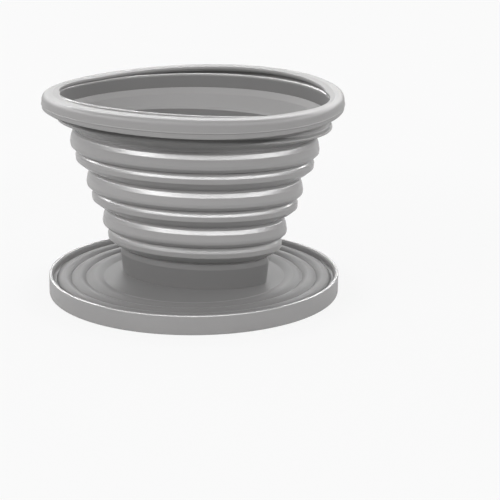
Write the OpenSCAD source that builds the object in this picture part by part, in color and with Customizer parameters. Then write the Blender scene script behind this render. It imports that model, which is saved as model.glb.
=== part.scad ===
// Collapsible pour-over dripper, moulded in soft silicone.
// A stepped oval cone folds flat, one fold at a time, over a round rippled saucer.
// Z is up, the saucer's foot stands on z = 0, and the oval is longest along X.
// An oval size is given as its mean radius: half the oval difference more along X, and less along Y.

/* [Cone] */
// Height of one fold, and its travel when it is pushed in
stage_rise = 16.7; // [16.2:0.1:17]
// How much smaller each band is than the one above it, in radius
stage_step = 6.3; // [6:0.1:6.6]
// Length of the oval less its width
oval_difference = 11.7; // [8:0.1:13]
// Mean radius of the top band at its crest
crest_r = 44.1; // [43:0.1:45]
// Height of the top band's crest
crest_z = 67.3; // [66:0.1:68]
// Height of a band from its crest to the crease below it
band_h = 9; // [8.6:0.1:9.4]
// How far the middle of a band bulges out past its crest
band_bulge = 2.1; // [1.5:0.1:2.5]
// Wall of the stiff bands
band_wall = 2.1; // [1.8:0.1:2.2]
// Thickness of a fold web where it meets the crest below it
web_t = 1.4; // [1:0.1:1.6]

/* [Mouth and rim] */
// Mean inner radius of the mouth
mouth_r = 49.8; // [49.5:0.1:50.2]
// Wall of the mouth collar
collar_wall = 1.5; // [1.2:0.1:1.6]
// Height of the lip round the mouth
lip_z = 82.3; // [82:0.1:82.8]
// Outer radius of the round rim where it is widest
rim_r = 60.7; // [60:0.1:61.5]
// Height of the top of the rim
rim_top = 83.4; // [83:0.1:84]
// Height of the rim's lower edge
rim_bottom = 75.5; // [75.4:0.1:76.5]
// Radius of the outer edge of the two crescent finger slots
slot_r = 53.2; // [52:0.1:54]

/* [Neck and drip floor] */
// Mean outer radius of the neck at its foot
neck_r = 25.1; // [24.8:0.1:25.4]
// Height of the top of the drip floor
floor_z = 8; // [7.6:0.1:9]
// Thickness of the drip floor
floor_t = 2.2; // [1.6:0.1:2.4]
// Diameter of a drip hole
drip_hole_d = 3.6; // [2:0.1:4]
// Number of drip holes round the middle one
drip_holes = 6; // [4:1:8]
// Number of ribs that lift the filter off the drip floor
filter_ribs = 12; // [8:1:16]

/* [Saucer] */
// Radius of the saucer at its foot
saucer_r = 59.6; // [59.4:0.1:60.5]
// Height of the saucer's edge
saucer_h = 7.8; // [7.6:0.1:7.9]
// Height of the flat part of the deck round the neck
deck_z = 5.6; // [5.4:0.1:5.8]
// Thickness of the deck
deck_t = 2; // [1.6:0.1:2.2]
// Spacing of the ripples in the deck
ripple_pitch = 5.95; // [5.8:0.05:6]
// Height of a ripple from its groove to its crown
ripple_h = 1.1; // [0.4:0.1:1.2]

/* [Rim hoop] */
// Width of the stiffening hoop's section
hoop_w = 0.8; // [0.5:0.1:0.9]
// Height of the stiffening hoop's section
hoop_h = 3; // [2:0.1:3.2]

/* [Hidden] */
$fn = 96;
silicone_grey = "#8f8d8c";
band_grey = "#9a9897";
web_grey = "#7d7b7a";
hoop_black = "#2c2c2e";

bands = 3;
half_difference = oval_difference / 2;
// The oval is four arcs that join at 45 degrees; this is how far their centres lie from the axis
arc_offset = oval_difference / (2 - sqrt(2));

// Crest of band number n, counted from 0 at the top; the neck's crest is one more
function crest(n) = [crest_r - n * stage_step, crest_z - n * stage_rise];

// The crest's rounded top, the shoulder below it and the widest line of a band
crest_h = 1.6;
crest_round = 0.6;
shoulder = [1, -2.4];
bulge_z = -6.8;
// Where the crease below a band lies, from the band's crest
crease = [0.2, -band_h];
crease_w = 1.6;
// The same crease, from the crest of the next band down
web_top = crease + [stage_step, stage_rise];
// The bead below a crease, and the corner where a fold web turns in
bead = [web_top[0] + 0.3, web_top[1] - 1.5];
web_wall_foot = [bead[0] - 0.8, bead[1] - 3.2];
web_corner = [bead[0] - 1.4, bead[1] - 4.2];
web_inner_corner = [bead[0] - 2.2, bead[1] - 0.5];
web_inner_foot = [-0.5, web_t - 0.1];

collar_foot = crest(0) + web_top;
collar_r = mouth_r + collar_wall;
lip_round = 0.6;

flange_t = 2.1;
flange_z = rim_top - flange_t;
flange_edge_drop = 0.8;
rim_wall = 2.3;
rim_top_r = rim_r - 1.2;
rim_widest_z = rim_bottom + 2.8;
rim_round = 1.4;
hoop_r = rim_r - 1.2;
hoop_z = rim_bottom + 1.5;

neck_wall = 2;
neck_shoulder = [0.7, -2.8];
neck_widest_z = -3.8;
neck_inner_r = neck_r - neck_wall;
floor_ring_r = 8.5;
rib_w = 1.2;
rib_h = 1;
rib_start_r = 11.5;

skirt_wall = 2;
skirt_inner_r = saucer_r - skirt_wall;
saucer_draft = 0.6;
lip_w = 0.9;
deck_edge_z = saucer_h - 0.6;
outer_groove_r = saucer_r - 3.1;
ripples = 2.5;
ripple_top = deck_z + 1.1;
inner_crown_r = outer_groove_r - ripples * ripple_pitch;
deck_flat_r = inner_crown_r - 4.4;
steps_per_ripple = 10;

// Sweeps a section round the four arcs of the oval, with x as the mean radius
module around_oval() {
    for (side = [0, 180]) {
        rotate([0, 0, side])
            translate([arc_offset, 0, 0])
                rotate([0, 0, -45])
                    rotate_extrude(angle = 90)
                        translate([half_difference - arc_offset, 0])
                            children();
        rotate([0, 0, side])
            translate([0, -arc_offset, 0])
                rotate([0, 0, 45])
                    rotate_extrude(angle = 90)
                        translate([arc_offset - half_difference, 0])
                            children();
    }
}

// A solid oval block of mean radius r, from height z0 to z1
module oval_block(r, z0, z1) {
    end_r = r + half_difference - arc_offset;
    flank_r = r - half_difference + arc_offset;
    for (side = [0, 180]) {
        rotate([0, 0, side])
            translate([arc_offset, 0, z0])
                rotate([0, 0, -45])
                    rotate_extrude(angle = 90)
                        square([end_r, z1 - z0]);
        rotate([0, 0, side])
            intersection() {
                translate([0, -arc_offset, z0])
                    rotate([0, 0, 45])
                        rotate_extrude(angle = 90)
                            square([flank_r, z1 - z0]);
                translate([-flank_r, 0, z0])
                    cube([2 * flank_r, flank_r, z1 - z0]);
            }
    }
}

// A plain round ring between two radii
module ring(r_in, r_out, z0, z1) {
    rotate_extrude()
        translate([r_in, z0])
            square([r_out - r_in, z1 - z0]);
}

// Stiff band: crest, shoulder, bulge and the crease under it
module band(n) {
    color(band_grey)
        around_oval()
            translate(crest(n))
                polygon([
                    [0, 0],
                    shoulder,
                    [band_bulge, bulge_z],
                    crease,
                    crease - [crease_w, 0],
                    [band_bulge - band_wall, bulge_z],
                    [shoulder[0] - band_wall, shoulder[1]],
                    [-band_wall + 0.2, crest_h - 2 * crest_round],
                    [-crest_round - 0.9, crest_h - 0.3],
                    [-crest_round - 0.4, crest_h],
                    web_inner_foot
                ]);
}

// Thin fold web: hangs below the crease of one band and turns in to the crest of the next.
// It inverts when its fold is pushed in.
module web(n) {
    color(web_grey)
        around_oval()
            translate(crest(n))
                polygon([
                    [0, 0],
                    web_corner,
                    web_wall_foot,
                    bead,
                    web_top,
                    web_top - [crease_w, 0],
                    web_inner_corner,
                    web_inner_foot
                ]);
}

module band_top() band(0);

module band_middle() band(1);

module band_bottom() band(2);

module web_top_fold() web(0);

module web_upper() web(1);

module web_lower() web(2);

module web_foot() web(3);

// Upright collar with a rounded lip round the oval mouth
module mouth_collar() {
    color(silicone_grey)
        around_oval()
            polygon([
                collar_foot,
                [collar_r, collar_foot[1] + 2.5],
                [collar_r, lip_z - lip_round],
                [collar_r - lip_round / 2, lip_z],
                [mouth_r + lip_round / 2, lip_z],
                [mouth_r, lip_z - lip_round],
                [mouth_r, collar_foot[1] + 2.5],
                collar_foot - [crease_w, 0]
            ]);
}

// Crowned top of the round rim. The oval collar cuts into it at the ends of the oval,
// and leaves a crescent finger slot along each flank.
module rim_flange() {
    color(silicone_grey)
        difference() {
            rotate_extrude()
                polygon([
                    [slot_r, flange_z],
                    [rim_top_r + flange_edge_drop / 4, flange_z],
                    [rim_top_r, rim_top - rim_round],
                    [rim_top_r - rim_round / 3, rim_top - rim_round / 3],
                    [rim_top_r - rim_round, rim_top],
                    [slot_r + 2 * rim_round, rim_top],
                    [slot_r, rim_top - flange_edge_drop]
                ]);
            oval_block(collar_r, flange_z - 1, rim_top + 1);
        }
}

// Turned-down outer wall of the rim, hollow for the hoop
module rim_skirt() {
    color(silicone_grey)
        difference() {
            rotate_extrude()
                polygon([
                    [rim_top_r + flange_edge_drop / 4, flange_z],
                    [rim_r, rim_widest_z],
                    [rim_r - 0.3, rim_bottom + rim_round],
                    [rim_top_r, rim_bottom],
                    [rim_top_r - rim_wall + 0.4, rim_bottom],
                    [rim_r - rim_wall, rim_widest_z],
                    [rim_top_r - rim_wall + 0.4, flange_z]
                ]);
            ring(hoop_r - hoop_w, hoop_r, hoop_z, hoop_z + hoop_h);
        }
}

// Stiff hoop moulded inside the rim, so that it stays round when it is pushed down
module rim_hoop() {
    color(hoop_black)
        ring(hoop_r - hoop_w, hoop_r, hoop_z, hoop_z + hoop_h);
}

// Neck between the lowest fold and the saucer
module neck() {
    foot = [neck_r, deck_z] - crest(bands);
    inner = neck_inner_r - crest(bands)[0];
    floor_top = floor_z - crest(bands)[1];
    color(silicone_grey)
        around_oval()
            translate(crest(bands))
                polygon([
                    [0, 0],
                    neck_shoulder,
                    [neck_shoulder[0], neck_widest_z],
                    foot,
                    [foot[0], foot[1] - deck_t],
                    [inner, foot[1] - deck_t],
                    [inner, floor_top],
                    [neck_shoulder[0] - neck_wall, neck_widest_z],
                    [-band_wall + 0.2, crest_h - 2 * crest_round],
                    [-crest_round - 0.9, crest_h - 0.3],
                    [-crest_round - 0.4, crest_h],
                    web_inner_foot
                ]);
}

// Floor of the neck, with drip holes and ribs that keep the filter off it
module drip_floor() {
    color(silicone_grey)
        difference() {
            union() {
                oval_block(neck_inner_r, floor_z - floor_t, floor_z);
                intersection() {
                    oval_block(neck_inner_r - 1, floor_z - 0.5, floor_z + rib_h);
                    for (i = [0 : filter_ribs - 1])
                        rotate([0, 0, (i + 0.5) * 360 / filter_ribs])
                            translate([rib_start_r, -rib_w / 2, floor_z - 0.5])
                                cube([neck_r + half_difference - rib_start_r, rib_w, rib_h + 0.5]);
                }
            }
            for (i = [0 : drip_holes])
                rotate([0, 0, i * 360 / drip_holes])
                    translate([i == 0 ? 0 : floor_ring_r, 0, floor_z - floor_t - 1])
                        cylinder(d = drip_hole_d, h = floor_t + 2);
        }
}

// Height of the rippled deck at radius r: broad crowns with a narrow groove between them
function deck_top(r) =
    r >= inner_crown_r
        ? ripple_top - ripple_h + ripple_h * abs(cos(180 * (r - inner_crown_r) / ripple_pitch))
        : deck_z + (ripple_top - deck_z) * cos(90 * (inner_crown_r - r) / (inner_crown_r - deck_flat_r));

// Deck of the saucer: flat round the neck, then a step up to concentric ripples
module saucer_deck() {
    ripple_steps = ripples * steps_per_ripple;
    slope_steps = 6;
    radii = concat(
        [for (i = [0 : slope_steps - 1]) deck_flat_r + i * (inner_crown_r - deck_flat_r) / slope_steps],
        [for (i = [0 : ripple_steps]) inner_crown_r + i * ripple_pitch / steps_per_ripple]
    );
    top = concat([[neck_r / 2, deck_z]], [for (r = radii) [r, deck_top(r)]], [[skirt_inner_r, deck_edge_z]]);
    under = [for (i = [len(top) - 1 : -1 : 0]) top[i] - [0, deck_t]];
    color(silicone_grey)
        difference() {
            rotate_extrude()
                polygon(concat(top, under));
            oval_block(neck_r, deck_z - deck_t - 1, deck_z + 1);
        }
}

// Outer wall of the saucer: it is the foot that the dripper stands on
module saucer_skirt() {
    color(silicone_grey)
        rotate_extrude()
            polygon([
                [skirt_inner_r, 0],
                [saucer_r, 0],
                [saucer_r - saucer_draft, saucer_h],
                [saucer_r - saucer_draft - lip_w, saucer_h],
                [skirt_inner_r, deck_edge_z]
            ]);
}

saucer_skirt();
saucer_deck();
neck();
drip_floor();
web_foot();
band_bottom();
web_lower();
band_middle();
web_upper();
band_top();
web_top_fold();
mouth_collar();
rim_flange();
rim_skirt();
rim_hoop();
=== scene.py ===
"""Looks of the collapsible silicone pour-over dripper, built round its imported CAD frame.

Every part of the cone is a section swept round one oval, or round a circle for the saucer and the rim.
Sections are closed outlines in millimetres: (mean radius, height, corner radius, ...), and their
places come from the boxes of the CAD nodes they stand for.
"""

import math

import bpy
import numpy as np
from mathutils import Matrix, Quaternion, Vector


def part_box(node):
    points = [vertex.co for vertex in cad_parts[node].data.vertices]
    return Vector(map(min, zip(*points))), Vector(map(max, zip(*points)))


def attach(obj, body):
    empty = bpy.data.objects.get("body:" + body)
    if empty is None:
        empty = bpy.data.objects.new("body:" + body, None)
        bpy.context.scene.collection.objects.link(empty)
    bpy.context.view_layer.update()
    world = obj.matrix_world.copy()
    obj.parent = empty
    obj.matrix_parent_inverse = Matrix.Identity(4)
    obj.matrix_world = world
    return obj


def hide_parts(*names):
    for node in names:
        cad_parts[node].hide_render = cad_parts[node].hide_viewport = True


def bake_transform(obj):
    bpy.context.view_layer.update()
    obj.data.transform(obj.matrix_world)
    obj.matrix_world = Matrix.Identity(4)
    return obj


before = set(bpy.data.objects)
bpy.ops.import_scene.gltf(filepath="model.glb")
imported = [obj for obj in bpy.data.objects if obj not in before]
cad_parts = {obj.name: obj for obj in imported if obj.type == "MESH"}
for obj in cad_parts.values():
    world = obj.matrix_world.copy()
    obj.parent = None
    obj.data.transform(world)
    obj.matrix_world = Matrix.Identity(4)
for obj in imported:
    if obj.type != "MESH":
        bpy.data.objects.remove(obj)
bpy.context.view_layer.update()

MM = 0.001
POINTS_ROUND = 384      # vertices round each swept ring
POINT_SPACING = 0.55    # longest straight step along a section, mm
CORNER_POINTS = 7       # vertices on each rounded corner
CORNER_SHARE = 0.46     # a rounded corner takes at most this share of the side before or after it
PLAIN_CORNER = 0.01     # a corner that would take less than this of its sides stays plain, mm
SHARP_ANGLE = math.radians(38)
OVAL_STEPS = 720        # steps round the oval where its outline is looked up


# ---------------------------------------------------------------- places from the frame, in mm

def node_top(node):
    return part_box(node)[1].z / MM


def node_foot(node):
    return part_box(node)[0].z / MM


def node_radius(node):
    """Mean radius of a node's outside: half way between its reach along X and along Y."""
    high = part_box(node)[1]
    return (high.x + high.y) / 2 / MM


def half_oval(node):
    """How much further than its mean radius an oval node reaches along X."""
    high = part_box(node)[1]
    return (high.x - high.y) / 2 / MM


HALF_OVAL = half_oval("band_top")

# A band, as its CAD node gives it
BAND_BULGE = 2.1        # widest line of the node, outside its crest
CREST_HEIGHT = 1.6      # the node's rounded top, above the height that sections count as their crest

# The soft rim and mouth
SADDLE = 1.0            # they sag and lift by this much, twice round
SADDLE_PEAK = math.radians(77)
LIP_LEAN = 0.3          # the lip stands up on one side of the mouth and sinks on the other
LIP_LEAN_PEAK = math.radians(290)
RIM_LIFT = 1.6          # the foot of the rim's wall is drawn up at the ends of the oval
RIM_LIFT_PEAK = math.radians(21)
RIM_LIFT_DEPTH = 1.5    # the lift starts this far below the rim's crown
COLLAR_OUT = 7.2        # outside of the collar, from the top band's crest
COLLAR_WALL = 1.6
COLLAR_RISE = 7.8       # foot of the collar, above the top band's crest
LIP_DROP = 1.1          # the lip stands lower than its CAD node
LIP_HEIGHT = 0.9
CROWN_DROP = 0.6        # the rim's crown stands lower than its CAD node
RIM_FOOT_RISE = 0.1
FLANGE_THICKNESS = 2.2
PARTING_HEIGHT = 2.4    # the mould's parting line, above the rim's foot
SLOT_RADIUS = 53.2      # outer edge of the crescent finger slots
RIM_FIXED_WIDTH = 2.5   # outermost part of the rim, which keeps its circle where the rest is drawn in

# The saucer
SHEET = 2.0             # thickness of the deck
DECK_HOLE = 18.0        # radius of the deck's opening, under the drip floor
RIPPLE_PITCH = 5.95
RIPPLE_DEPTH = 1.4
RIPPLES = 2.5           # from the innermost crown to the outermost groove
CROWN_HEIGHT = 1.2      # crowns, above the deck's flat middle
CROWN_FULLNESS = 0.8    # below 1, crowns are broad and grooves narrow
OUTER_GROOVE = 3.1      # outermost groove, inside the saucer's edge
INNER_SLOPE = 4.4       # run of the innermost crown, down to the flat middle
DECK_STEPS = 72
NECK_IN_DECK = 0.5      # the neck's foot ends inside the sheet, above its underside

BANDS = ["band_top", "band_middle", "band_bottom"]
WEBS = ["web_top_fold", "web_upper", "web_lower", "web_foot"]
DULL_WEBS = ["web_top_fold", "web_foot"]
BODIES = ["top_band", "middle_band", "bottom_band", "base"]     # below each web


def crest_of_band(node):
    """Mean radius and height that a band's section, and the web above it, are measured from."""
    return node_radius(node) - BAND_BULGE, node_top(node) - CREST_HEIGHT


BAND_CRESTS = [crest_of_band(node) for node in BANDS]
STAGE_STEP = (BAND_CRESTS[0][0] - BAND_CRESTS[-1][0]) / (len(BANDS) - 1)
STAGE_RISE = (BAND_CRESTS[0][1] - BAND_CRESTS[-1][1]) / (len(BANDS) - 1)
NECK_CREST = (BAND_CRESTS[-1][0] - STAGE_STEP, BAND_CRESTS[-1][1] - STAGE_RISE)


# ---------------------------------------------------------------- sections

def rounded_section(corners):
    """A closed outline with rounded corners. A corner is (radius, height, corner radius, *extra).

    Returns rows of radius, height and any extra value, such as a point's share of the part above it.
    """
    corners = np.array(corners, float)
    corner_radii = corners[:, 2]
    path = np.delete(corners, 2, axis=1)
    points = []
    for i, corner in enumerate(path):
        before = path[i - 1] - corner
        after = path[(i + 1) % len(path)] - corner
        length_before = np.linalg.norm(before[:2])
        length_after = np.linalg.norm(after[:2])
        turn = np.dot(before[:2], after[:2]) / (length_before * length_after)
        half_angle = math.acos(max(-1.0, min(1.0, turn))) / 2
        reach = corner_radii[i] / max(math.tan(half_angle), 1e-3)
        reach = min(reach, CORNER_SHARE * length_before, CORNER_SHARE * length_after)
        if reach < PLAIN_CORNER:
            points.append(corner)
            continue
        start = corner + before * (reach / length_before)
        end = corner + after * (reach / length_after)
        for t in np.linspace(0, 1, CORNER_POINTS):
            points.append((1 - t) ** 2 * start + 2 * t * (1 - t) * corner + t ** 2 * end)
    filled = []
    for i, point in enumerate(points):
        step = points[(i + 1) % len(points)] - point
        count = max(1, math.ceil(np.linalg.norm(step[:2]) / POINT_SPACING))
        filled += [point + step * (k / count) for k in range(count)]
    return np.array(filled)


def swept_ring(name, section, ovalness, saddle=0.0, leaning=0.0):
    """Sweeps a closed section round the object. ovalness is 1 for the oval, 0 for a circle.

    saddle and leaning are how much of the rim's saddle shape and of the lip's lean the ring, or each
    point of its section, follows.
    """
    angles = np.arange(POINTS_ROUND) * 2 * math.pi / POINTS_ROUND
    radius = section[:, 0][None, :]
    height = section[:, 1][None, :]
    spread = HALF_OVAL * ovalness
    reach = radius + spread * np.cos(2 * angles)[:, None]
    slide = -2 * spread * np.sin(2 * angles)[:, None] * np.ones_like(radius)
    cos_a = np.cos(angles)[:, None]
    sin_a = np.sin(angles)[:, None]
    x = reach * cos_a - slide * sin_a
    y = reach * sin_a + slide * cos_a
    z = height + saddle * SADDLE * np.cos(2 * (angles - SADDLE_PEAK))[:, None]
    z = z + leaning * LIP_LEAN * np.cos(angles - LIP_LEAN_PEAK)[:, None] + np.zeros_like(x)
    points = np.stack([x, y, z], 2).reshape(-1, 3) * MM

    count = section.shape[0]
    ring = np.arange(POINTS_ROUND)[:, None] * count
    next_ring = (np.arange(POINTS_ROUND)[:, None] + 1) % POINTS_ROUND * count
    here = np.arange(count)[None, :]
    there = (np.arange(count)[None, :] + 1) % count
    quads = np.stack([ring + here, next_ring + here, next_ring + there, ring + there], 2)
    area = np.sum(section[:, 0] * np.roll(section[:, 1], -1) - np.roll(section[:, 0], -1) * section[:, 1])
    quads = quads.reshape(-1, 4)
    if area < 0:
        quads = quads[:, ::-1]
    mesh = bpy.data.meshes.new(name)
    mesh.from_pydata(points.tolist(), [], quads.tolist())
    mesh.polygons.foreach_set("use_smooth", [True] * len(mesh.polygons))
    mesh.set_sharp_from_angle(angle=SHARP_ANGLE)
    piece = bpy.data.objects.new(name, mesh)
    bpy.context.scene.collection.objects.link(piece)
    return piece


def moved(corners, origin):
    """Corners measured from a crest, at their places on the object."""
    return [(c[0] + origin[0], c[1] + origin[1]) + tuple(c[2:]) for c in corners]


# A stiff band, from its crest: sloping shoulder, then a bulging face drawn in to the crease at its foot
BAND_SECTION = [
    (-0.3, -0.9, 0.0),
    (0.1, -1.1, 0.5),
    (0.76, -1.7, 0.8),
    (1.42, -3.45, 0.9),
    (1.9, -6.2, 2.0),
    (1.7, -7.5, 0.8),
    (0.1, -9.0, 0.15),
    (-1.6, -8.8, 0.0),
    (-0.5, -6.4, 1.5),
    (-0.9, -2.6, 1.5),
    (-2.1, 0.5, 0.0),
]

# A fold web, from the crest below it: valley, flare, nose and sloping ledge up to the crease above.
# The fourth value is a point's share of the part above; the script reads it only for the top fold, as its
# share of the rim's saddle.
WEB_SECTION = [
    (-0.3, -0.9, 0.0, 0.0),
    (0.3, -0.6, 0.4, 0.0),
    (3.6, 1.2, 2.0, 0.36),
    (5.98, 3.15, 0.5, 0.76),
    (6.12, 5.1, 0.6, 0.83),
    (5.72, 6.2, 0.8, 0.89),
    (5.2, 6.9, 0.5, 0.94),
    (4.8, 7.4, 0.2, 0.97),
    (5.4, 7.9, 0.0, 1.0),
    (4.2, 7.9, 0.0, 1.0),
    (4.5, 5.4, 1.0, 0.84),
    (2.8, 3.0, 3.0, 0.38),
    (-1.5, 1.5, 0.5, 0.0),
    (-2.1, 0.5, 0.0, 0.0),
]

# The top fold flares straight out to a nose, then stands up to meet the collar
TOP_WEB_SECTION = [
    (-0.3, -0.9, 0.0, 0.0),
    (0.2, 0.2, 0.8, 0.06),
    (6.8, 3.2, 0.6, 0.70),
    (6.7, 4.0, 0.5, 0.74),
    (5.2, 4.9, 0.7, 0.82),
    (5.4, 6.3, 0.8, 0.92),
    (7.0, 7.8, 0.0, 1.0),
    (5.5, 7.8, 0.0, 1.0),
    (4.0, 5.3, 2.0, 0.86),
    (-1.5, 1.5, 0.6, 0.0),
    (-2.1, 0.5, 0.0, 0.0),
]


# ---------------------------------------------------------------- materials

INSIDE_ROUGHNESS = 0.5
INSIDE_SHINE = 0.3
INSIDE_TEST = -0.003        # below this dot product of its normal and its place, a surface faces the axis
NEVER = -1.0                # lower than that dot product ever is
ROUGHNESS_SPREAD = 0.03
CLOUD_SCALE = 38.0
GRAIN_SCALE = 2600.0
SPECKLE_SCALE = 900.0


def shader_tree(owner):
    """An empty shader tree for a material or a world."""
    owner.use_nodes = True
    owner.node_tree.nodes.clear()
    return owner.node_tree


def add_node(tree, kind, inputs=None):
    node = tree.nodes.new("ShaderNode" + kind)
    for name, value in (inputs or {}).items():
        node.inputs[name].default_value = value
    return node


def silicone(name, shade, roughness, shine, dull_inside=True):
    """Moulded silicone: a fine grain, faint cloudy tone, and a soft sheen.

    The side that faces the axis is duller, as the core of the mould leaves it.
    """
    material = bpy.data.materials.new(name)
    tree = shader_tree(material)
    link = tree.links.new
    output = add_node(tree, "OutputMaterial")
    surface = add_node(tree, "BsdfPrincipled", {
        "Subsurface Weight": 0.06,
        "Subsurface Radius": (0.0016, 0.0015, 0.0014),
        "Subsurface Scale": 1.0,
        "IOR": 1.5,
        "Sheen Weight": 0.08,
        "Sheen Roughness": 0.4,
    })
    place = add_node(tree, "TexCoord")
    cloud = add_node(tree, "TexNoise", {"Scale": CLOUD_SCALE, "Detail": 4.0})
    grain = add_node(tree, "TexNoise", {"Scale": GRAIN_SCALE, "Detail": 3.0})
    tone = add_node(tree, "MixRGB", {
        "Color1": (0.200 * shade, 0.197 * shade, 0.196 * shade, 1),
        "Color2": (0.216 * shade, 0.213 * shade, 0.212 * shade, 1),
    })
    rough = add_node(tree, "MapRange", {
        "To Min": roughness - ROUGHNESS_SPREAD,
        "To Max": roughness + ROUGHNESS_SPREAD,
    })
    bump = add_node(tree, "Bump", {"Strength": 0.10, "Distance": 0.00008})
    link(place.outputs["Object"], cloud.inputs["Vector"])
    link(place.outputs["Object"], grain.inputs["Vector"])
    link(cloud.outputs["Fac"], tone.inputs["Fac"])
    link(tone.outputs["Color"], surface.inputs["Base Color"])
    link(grain.outputs["Fac"], rough.inputs["Value"])
    link(grain.outputs["Fac"], bump.inputs["Height"])
    link(bump.outputs["Normal"], surface.inputs["Normal"])

    # 1 where the surface faces the axis, 0 elsewhere
    spot = add_node(tree, "NewGeometry")
    outward = add_node(tree, "VectorMath")
    outward.operation = "MULTIPLY"
    outward.inputs[1].default_value = (1, 1, 0)
    facing = add_node(tree, "VectorMath")
    facing.operation = "DOT_PRODUCT"
    inside = add_node(tree, "Math")
    inside.operation = "LESS_THAN"
    inside.inputs[1].default_value = INSIDE_TEST if dull_inside else NEVER
    link(spot.outputs["Position"], outward.inputs[0])
    link(outward.outputs["Vector"], facing.inputs[0])
    link(spot.outputs["Normal"], facing.inputs[1])
    link(facing.outputs["Value"], inside.inputs[0])

    both_rough = add_node(tree, "Mix", {"B": INSIDE_ROUGHNESS})
    both_shine = add_node(tree, "Mix", {"A": shine, "B": INSIDE_SHINE})
    link(inside.outputs["Value"], both_rough.inputs["Factor"])
    link(inside.outputs["Value"], both_shine.inputs["Factor"])
    link(rough.outputs["Result"], both_rough.inputs["A"])
    link(both_rough.outputs["Result"], surface.inputs["Roughness"])
    link(both_shine.outputs["Result"], surface.inputs["Specular IOR Level"])
    link(surface.outputs["BSDF"], output.inputs["Surface"])
    return material


def hoop_nylon():
    """Black nylon of the hidden hoop, with a slight moulded texture."""
    material = bpy.data.materials.new("hoop_nylon")
    tree = shader_tree(material)
    link = tree.links.new
    output = add_node(tree, "OutputMaterial")
    surface = add_node(tree, "BsdfPrincipled", {"Roughness": 0.5})
    speckle = add_node(tree, "TexNoise", {"Scale": SPECKLE_SCALE})
    tone = add_node(tree, "ValToRGB")
    tone.color_ramp.elements[0].color = (0.018, 0.018, 0.02, 1)
    tone.color_ramp.elements[1].color = (0.04, 0.04, 0.044, 1)
    link(speckle.outputs["Fac"], tone.inputs["Fac"])
    link(tone.outputs["Color"], surface.inputs["Base Color"])
    link(surface.outputs["BSDF"], output.inputs["Surface"])
    return material


def paint(piece, material):
    piece.data.materials.clear()
    piece.data.materials.append(material)


# Versions of the one silicone: shade, roughness and shine. The low shade of 0.60 in the second is painted
# shade, for the shadow of the cone over the deck, neck and drip floor and for the shaded inside wall of
# the collar.
SILICONE = silicone("silicone", 0.95, 0.42, 0.35)
SHADE_PAINTED_SILICONE = silicone("shade_painted_silicone", 0.60, 0.50, 0.2)
PLEAT_SILICONE = silicone("pleat_silicone", 1.0, 0.23, 0.9)
WEB_SILICONE = silicone("web_silicone", 0.98, 0.23, 0.9)
DULL_WEB_SILICONE = silicone("dull_web_silicone", 0.98, 0.34, 0.6)
LIP_SILICONE = silicone("lip_silicone", 1.0, 0.23, 0.9, dull_inside=False)


# ---------------------------------------------------------------- the cone

def build_band(node, crest, body):
    section = rounded_section(moved(BAND_SECTION, crest))
    piece = swept_ring(node + "_silicone", section, 1)
    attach(piece, body)
    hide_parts(node)
    paint(piece, PLEAT_SILICONE)


def build_web(node, crest, upper_body):
    """A web, from the part below it up to the part above it; the top fold follows the rim's saddle."""
    top_fold = upper_body == "rim"
    section = rounded_section(moved(TOP_WEB_SECTION if top_fold else WEB_SECTION, crest))
    share = section[:, 2]
    piece = swept_ring(node + "_silicone", section, 1, share if top_fold else 0.0)
    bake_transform(piece)
    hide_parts(node)
    paint(piece, DULL_WEB_SILICONE if node in DULL_WEBS else WEB_SILICONE)


def build_neck():
    """The upright oval wall that stands on the deck, round the drip floor."""
    radius, height = NECK_CREST
    foot = node_foot("saucer_deck")
    deck = foot + SHEET
    inner = node_radius("drip_floor")
    section = rounded_section([
        (radius - 0.3, height - 0.9, 0.0),
        (radius + 0.3, height - 1.4, 0.6),
        (radius + 0.9, height - 3.2, 0.9),
        (radius + 0.8, height - 4.6, 2.0),
        (radius + 0.1, deck, 1.0),
        (radius + 0.1, foot + NECK_IN_DECK, 0.1),
        (inner, foot + NECK_IN_DECK, 0.1),
        (inner, deck + 3.2, 0.8),
        (radius - 1.3, height - 3.8, 2.0),
        (radius - 2.1, height + 0.5, 0.0),
    ])
    piece = swept_ring("neck_silicone", section, 1)
    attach(piece, "base")
    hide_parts("neck")
    # Painted shade: the neck is darker for the shadow of the cone above it.
    paint(piece, SHADE_PAINTED_SILICONE)


def build_collar():
    """The upright collar and its rounded lip, a piece of its own for its gloss."""
    foot = BAND_CRESTS[0][1] + COLLAR_RISE
    lip = node_top("mouth_collar") - LIP_DROP
    outer = BAND_CRESTS[0][0] + COLLAR_OUT
    wall = rounded_section([
        (outer - 0.2, foot, 0.0),
        (outer, foot + 2.0, 1.0),
        (outer, lip - LIP_HEIGHT, 0.0),
        (outer - COLLAR_WALL, lip - LIP_HEIGHT, 0.0),
        (outer - COLLAR_WALL, foot, 0.0),
    ])
    bead = rounded_section([
        (outer, lip - LIP_HEIGHT, 0.0),
        (outer, lip, 0.75),
        (outer - COLLAR_WALL, lip, 0.75),
        (outer - COLLAR_WALL, lip - LIP_HEIGHT, 0.0),
    ])
    # The collar's wall is painted darker, as painted shade for the shaded inside of the mouth; the lip
    # keeps its glossy silicone.
    for name, section, material in [("wall", wall, SHADE_PAINTED_SILICONE), ("lip", bead, LIP_SILICONE)]:
        leaning = (section[:, 1] - foot) / (lip - foot)
        piece = swept_ring("mouth_" + name + "_silicone", section, 1, 1.0, leaning)
        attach(piece, "rim")
        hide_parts("mouth_collar")
        paint(piece, material)


def oval_reach(mean_radius, angles):
    """Distance from the axis of an oval's outline, in the directions given by angles."""
    turns = np.linspace(0, 2 * math.pi, OVAL_STEPS + 1)
    reach = mean_radius + HALF_OVAL * np.cos(2 * turns)
    slide = -2 * HALF_OVAL * np.sin(2 * turns)
    directions = turns + np.arctan2(slide, reach)
    return np.interp(angles, directions, np.hypot(reach, slide), period=2 * math.pi)


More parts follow.
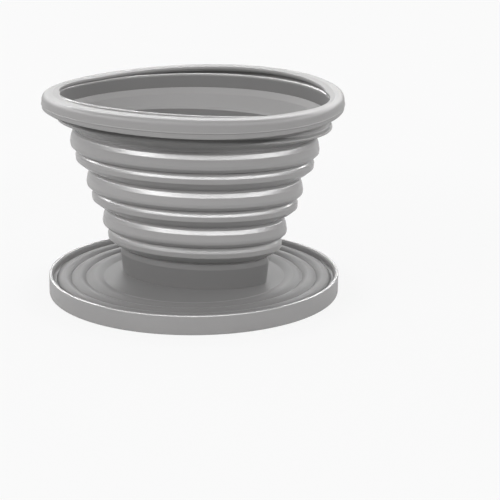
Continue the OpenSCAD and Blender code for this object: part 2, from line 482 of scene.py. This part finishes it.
def fit_rim(piece, top, foot):
    """Draws the rim's inner edge back to the oval mouth, and lifts its foot at the ends of the oval."""
    count = len(piece.data.vertices)
    flat = np.empty(count * 3, np.float32)
    piece.data.vertices.foreach_get("co", flat)
    points = flat.reshape(-1, 3) / MM
    angles = np.arctan2(points[:, 1], points[:, 0])
    radius = np.hypot(points[:, 0], points[:, 1])
    fixed = node_radius("rim_skirt") - RIM_FIXED_WIDTH
    mouth = BAND_CRESTS[0][0] + COLLAR_OUT - COLLAR_WALL
    edge = np.maximum(SLOT_RADIUS, oval_reach(mouth, angles))
    drawn = fixed - (fixed - radius) * (fixed - edge) / (fixed - SLOT_RADIUS)
    scale = np.where(radius < fixed, drawn / radius, 1.0)
    points[:, :2] *= scale[:, None]
    level = points[:, 2] - SADDLE * np.cos(2 * (angles - SADDLE_PEAK))
    lift_top = top - RIM_LIFT_DEPTH
    low = np.clip((lift_top - level) / (lift_top - foot), 0, 1)
    points[:, 2] += low * RIM_LIFT * (1 + np.cos(2 * (angles - RIM_LIFT_PEAK))) / 2
    piece.data.vertices.foreach_set("co", (points * MM).astype(np.float32).ravel())
    piece.data.update()


def build_rim():
    """Crowned flange and turned-down wall of the round rim, with a faint parting line."""
    top = node_top("rim_flange") - CROWN_DROP
    foot = node_foot("rim_skirt") + RIM_FOOT_RISE
    outer = node_radius("rim_skirt")
    parting = foot + PARTING_HEIGHT
    underside = top - FLANGE_THICKNESS
    section = rounded_section([
        (SLOT_RADIUS, top - 0.25, 0.35),
        (outer - 4.5, top, 4.0),
        (outer - 0.35, top - 0.15, 2.6),
        (outer - 0.12, parting + 0.25, 1.0),
        (outer + 0.04, parting, 0.05),
        (outer - 0.2, parting - 0.35, 0.2),
        (outer - 0.25, foot + 0.15, 0.35),
        (outer - 1.8, foot, 0.7),
        (outer - 3.0, foot + 0.1, 0.5),
        (outer - 2.4, foot + 2.6, 2.0),
        (outer - 3.2, underside, 1.0),
        (SLOT_RADIUS + 1.2, underside, 0.5),
        (SLOT_RADIUS, top - 1.2, 0.4),
    ])
    piece = swept_ring("rim_silicone", section, 0, 1.0)
    fit_rim(piece, top, foot)
    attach(piece, "rim")
    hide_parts("rim_flange", "rim_skirt")
    paint(piece, SILICONE)


# ---------------------------------------------------------------- the saucer

def build_deck():
    """The deck: broad crowned rings parted by narrow grooves, the same above and below."""
    outer = node_radius("saucer_skirt")
    foot = node_foot("saucer_deck")
    floor = foot + SHEET
    crown = floor + CROWN_HEIGHT
    outer_groove = outer - OUTER_GROOVE
    inner_crown = outer_groove - RIPPLES * RIPPLE_PITCH
    flat = inner_crown - INNER_SLOPE

    def deck_height(radius):
        if radius >= inner_crown:
            wave = abs(math.cos(math.pi * (radius - inner_crown) / RIPPLE_PITCH))
            return crown - RIPPLE_DEPTH + RIPPLE_DEPTH * wave ** CROWN_FULLNESS
        share = (inner_crown - radius) / (inner_crown - flat)
        return floor + (crown - floor) * math.cos(math.pi / 2 * share)

    radii = [flat + (outer_groove - flat) * i / DECK_STEPS for i in range(DECK_STEPS + 1)]
    top = [(radius, deck_height(radius), 0.0) for radius in radii]
    under = [(radius, height - SHEET, 0.0) for radius, height, _ in reversed(top)]
    edge = outer - 1.8
    groove = deck_height(outer_groove)
    section = rounded_section(
        [(DECK_HOLE, floor, 0.1)]
        + top
        + [(edge, groove + 0.2, 0.0), (edge, groove - SHEET, 0.0)]
        + under
        + [(DECK_HOLE, foot, 0.1)]
    )
    piece = swept_ring("saucer_deck_silicone", section, 0)
    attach(piece, "base")
    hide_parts("saucer_deck")
    # Painted shade: the deck is darker for the shadow of the cone and rim above it.
    paint(piece, SHADE_PAINTED_SILICONE)


def build_skirt():
    """The saucer's outer wall, thin at its lit top edge."""
    outer = node_radius("saucer_skirt")
    edge = node_top("saucer_skirt")
    section = rounded_section([
        (outer - 2.0, edge - 2.6, 0.0),
        (outer - 1.7, edge - 0.7, 0.8),
        (outer - 1.1, edge, 0.3),
        (outer - 0.15, edge, 0.1),
        (outer, edge - 0.4, 0.3),
        (outer, 0.0, 0.4),
        (outer - 2.0, 0.0, 0.4),
    ])
    piece = swept_ring("saucer_skirt_silicone", section, 0)
    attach(piece, "base")
    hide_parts("saucer_skirt")
    paint(piece, PLEAT_SILICONE)


# ---------------------------------------------------------------- stage, light and camera

FLOOR_HALF = 4.0        # metres, as everywhere in this part
PAPER_SHADE = 0.42      # what the object sees of the floor
PAPER_GLOW = 0.86       # share of its own light in what the camera sees of the floor

SKY_STRENGTH = 28.0
# Light of the studio by the sine of its height: dim wall, a band of softboxes, dim wall, ceiling panel
SKY_STEPS = [
    (0.00, 0.022),
    (0.20, 0.018),
    (0.375, 0.018),
    (0.39, 1.00),
    (0.425, 1.00),
    (0.44, 0.012),
    (0.89, 0.012),
    (0.93, 0.04),
]

CAMERA_AZIMUTH = math.radians(20.9)
CAMERA_ELEVATION = math.radians(14.36)
CAMERA_DISTANCE = 0.648
CAMERA_LENS = 114.26
CAMERA_AIM = Vector((0, 0, 0.042))
CAMERA_ASIDE = math.radians(2.02)       # the object stands left of the middle of the picture
CAMERA_DOWN = math.radians(2.20)        # and above it
CAMERA_ROLL = math.radians(0.4)


def soft_light(name, place, aim, size, power):
    light = bpy.data.lights.new(name, "AREA")
    light.shape = "DISK"
    light.size = size
    light.energy = power
    lamp = bpy.data.objects.new(name, light)
    lamp.location = place
    lamp.rotation_mode = "QUATERNION"
    lamp.rotation_quaternion = (Vector(aim) - Vector(place)).to_track_quat("-Z", "Y")
    bpy.context.scene.collection.objects.link(lamp)


def build_floor():
    """White paper. The camera sees it lit through, so that only a faint contact shadow is left."""
    half = FLOOR_HALF
    mesh = bpy.data.meshes.new("floor")
    mesh.from_pydata(
        [(-half, -half, 0), (half, -half, 0), (half, half, 0), (-half, half, 0)], [], [(0, 1, 2, 3)]
    )
    floor = bpy.data.objects.new("floor", mesh)
    bpy.context.scene.collection.objects.link(floor)
    material = bpy.data.materials.new("floor_paper")
    tree = shader_tree(material)
    link = tree.links.new
    output = add_node(tree, "OutputMaterial")
    paper = add_node(tree, "BsdfDiffuse", {"Color": (PAPER_SHADE, PAPER_SHADE, PAPER_SHADE, 1)})
    glow = add_node(tree, "Emission", {"Strength": 1.0})
    lit_paper = add_node(tree, "MixShader", {"Fac": PAPER_GLOW})
    path = add_node(tree, "LightPath")
    seen = add_node(tree, "MixShader")
    link(paper.outputs["BSDF"], lit_paper.inputs[1])
    link(glow.outputs["Emission"], lit_paper.inputs[2])
    link(path.outputs["Is Camera Ray"], seen.inputs["Fac"])
    link(paper.outputs["BSDF"], seen.inputs[1])
    link(lit_paper.outputs["Shader"], seen.inputs[2])
    link(seen.outputs["Shader"], output.inputs["Surface"])
    floor.data.materials.append(material)


def build_world():
    """A studio all round, which lights the object by its height. The camera sees plain white."""
    world = bpy.data.worlds.new("studio")
    bpy.context.scene.world = world
    tree = shader_tree(world)
    link = tree.links.new
    place = add_node(tree, "TexCoord")
    split = add_node(tree, "SeparateXYZ")
    ramp = add_node(tree, "ValToRGB")
    stops = ramp.color_ramp.elements
    while len(stops) < len(SKY_STEPS):
        stops.new(1.0)
    for stop, (height, level) in zip(stops, SKY_STEPS):
        stop.position = height
        stop.color = (level, level, level, 1)
    studio = add_node(tree, "Background", {"Strength": SKY_STRENGTH})
    white = add_node(tree, "Background", {"Color": (1, 1, 1, 1)})
    path = add_node(tree, "LightPath")
    seen = add_node(tree, "MixShader")
    output = add_node(tree, "OutputWorld")
    link(place.outputs["Generated"], split.inputs["Vector"])
    link(split.outputs["Z"], ramp.inputs["Fac"])
    link(ramp.outputs["Color"], studio.inputs["Color"])
    link(path.outputs["Is Camera Ray"], seen.inputs["Fac"])
    link(studio.outputs["Background"], seen.inputs[1])
    link(white.outputs["Background"], seen.inputs[2])
    link(seen.outputs["Shader"], output.inputs["Surface"])


def build_camera():
    """A long lens, low over the table, to the right of the oval's flank."""
    back = Vector((
        math.sin(CAMERA_AZIMUTH) * math.cos(CAMERA_ELEVATION),
        -math.cos(CAMERA_AZIMUTH) * math.cos(CAMERA_ELEVATION),
        math.sin(CAMERA_ELEVATION),
    ))
    right = Vector((math.cos(CAMERA_AZIMUTH), math.sin(CAMERA_AZIMUTH), 0))
    up = back.cross(right)
    forward = -back + right * math.tan(CAMERA_ASIDE) - up * math.tan(CAMERA_DOWN)
    data = bpy.data.cameras.new("camera")
    data.lens = CAMERA_LENS
    camera = bpy.data.objects.new("camera", data)
    camera.location = CAMERA_AIM + back * CAMERA_DISTANCE
    camera.rotation_mode = "QUATERNION"
    camera.rotation_quaternion = forward.to_track_quat("-Z", "Y") @ Quaternion((0, 0, 1), CAMERA_ROLL)
    bpy.context.scene.collection.objects.link(camera)
    bpy.context.scene.camera = camera


# ---------------------------------------------------------------- the whole

for band, crest, body in zip(BANDS, BAND_CRESTS, BODIES):
    build_band(band, crest, body)
for web, crest, lower, upper in zip(WEBS, BAND_CRESTS + [NECK_CREST], BODIES, ["rim"] + BODIES):
    build_web(web, crest, upper)
build_neck()
build_collar()
build_rim()
build_deck()
build_skirt()
# The drip floor takes the same painted shade as the deck and neck round it.
paint(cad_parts["drip_floor"], SHADE_PAINTED_SILICONE)
paint(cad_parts["rim_hoop"], hoop_nylon())

build_floor()
build_world()
soft_light("front_left", place=(-0.5, -0.7, 0.55), aim=(0, 0, 0.05), size=0.5, power=1.6)
build_camera()
bpy.context.scene.view_settings.view_transform = "Standard"
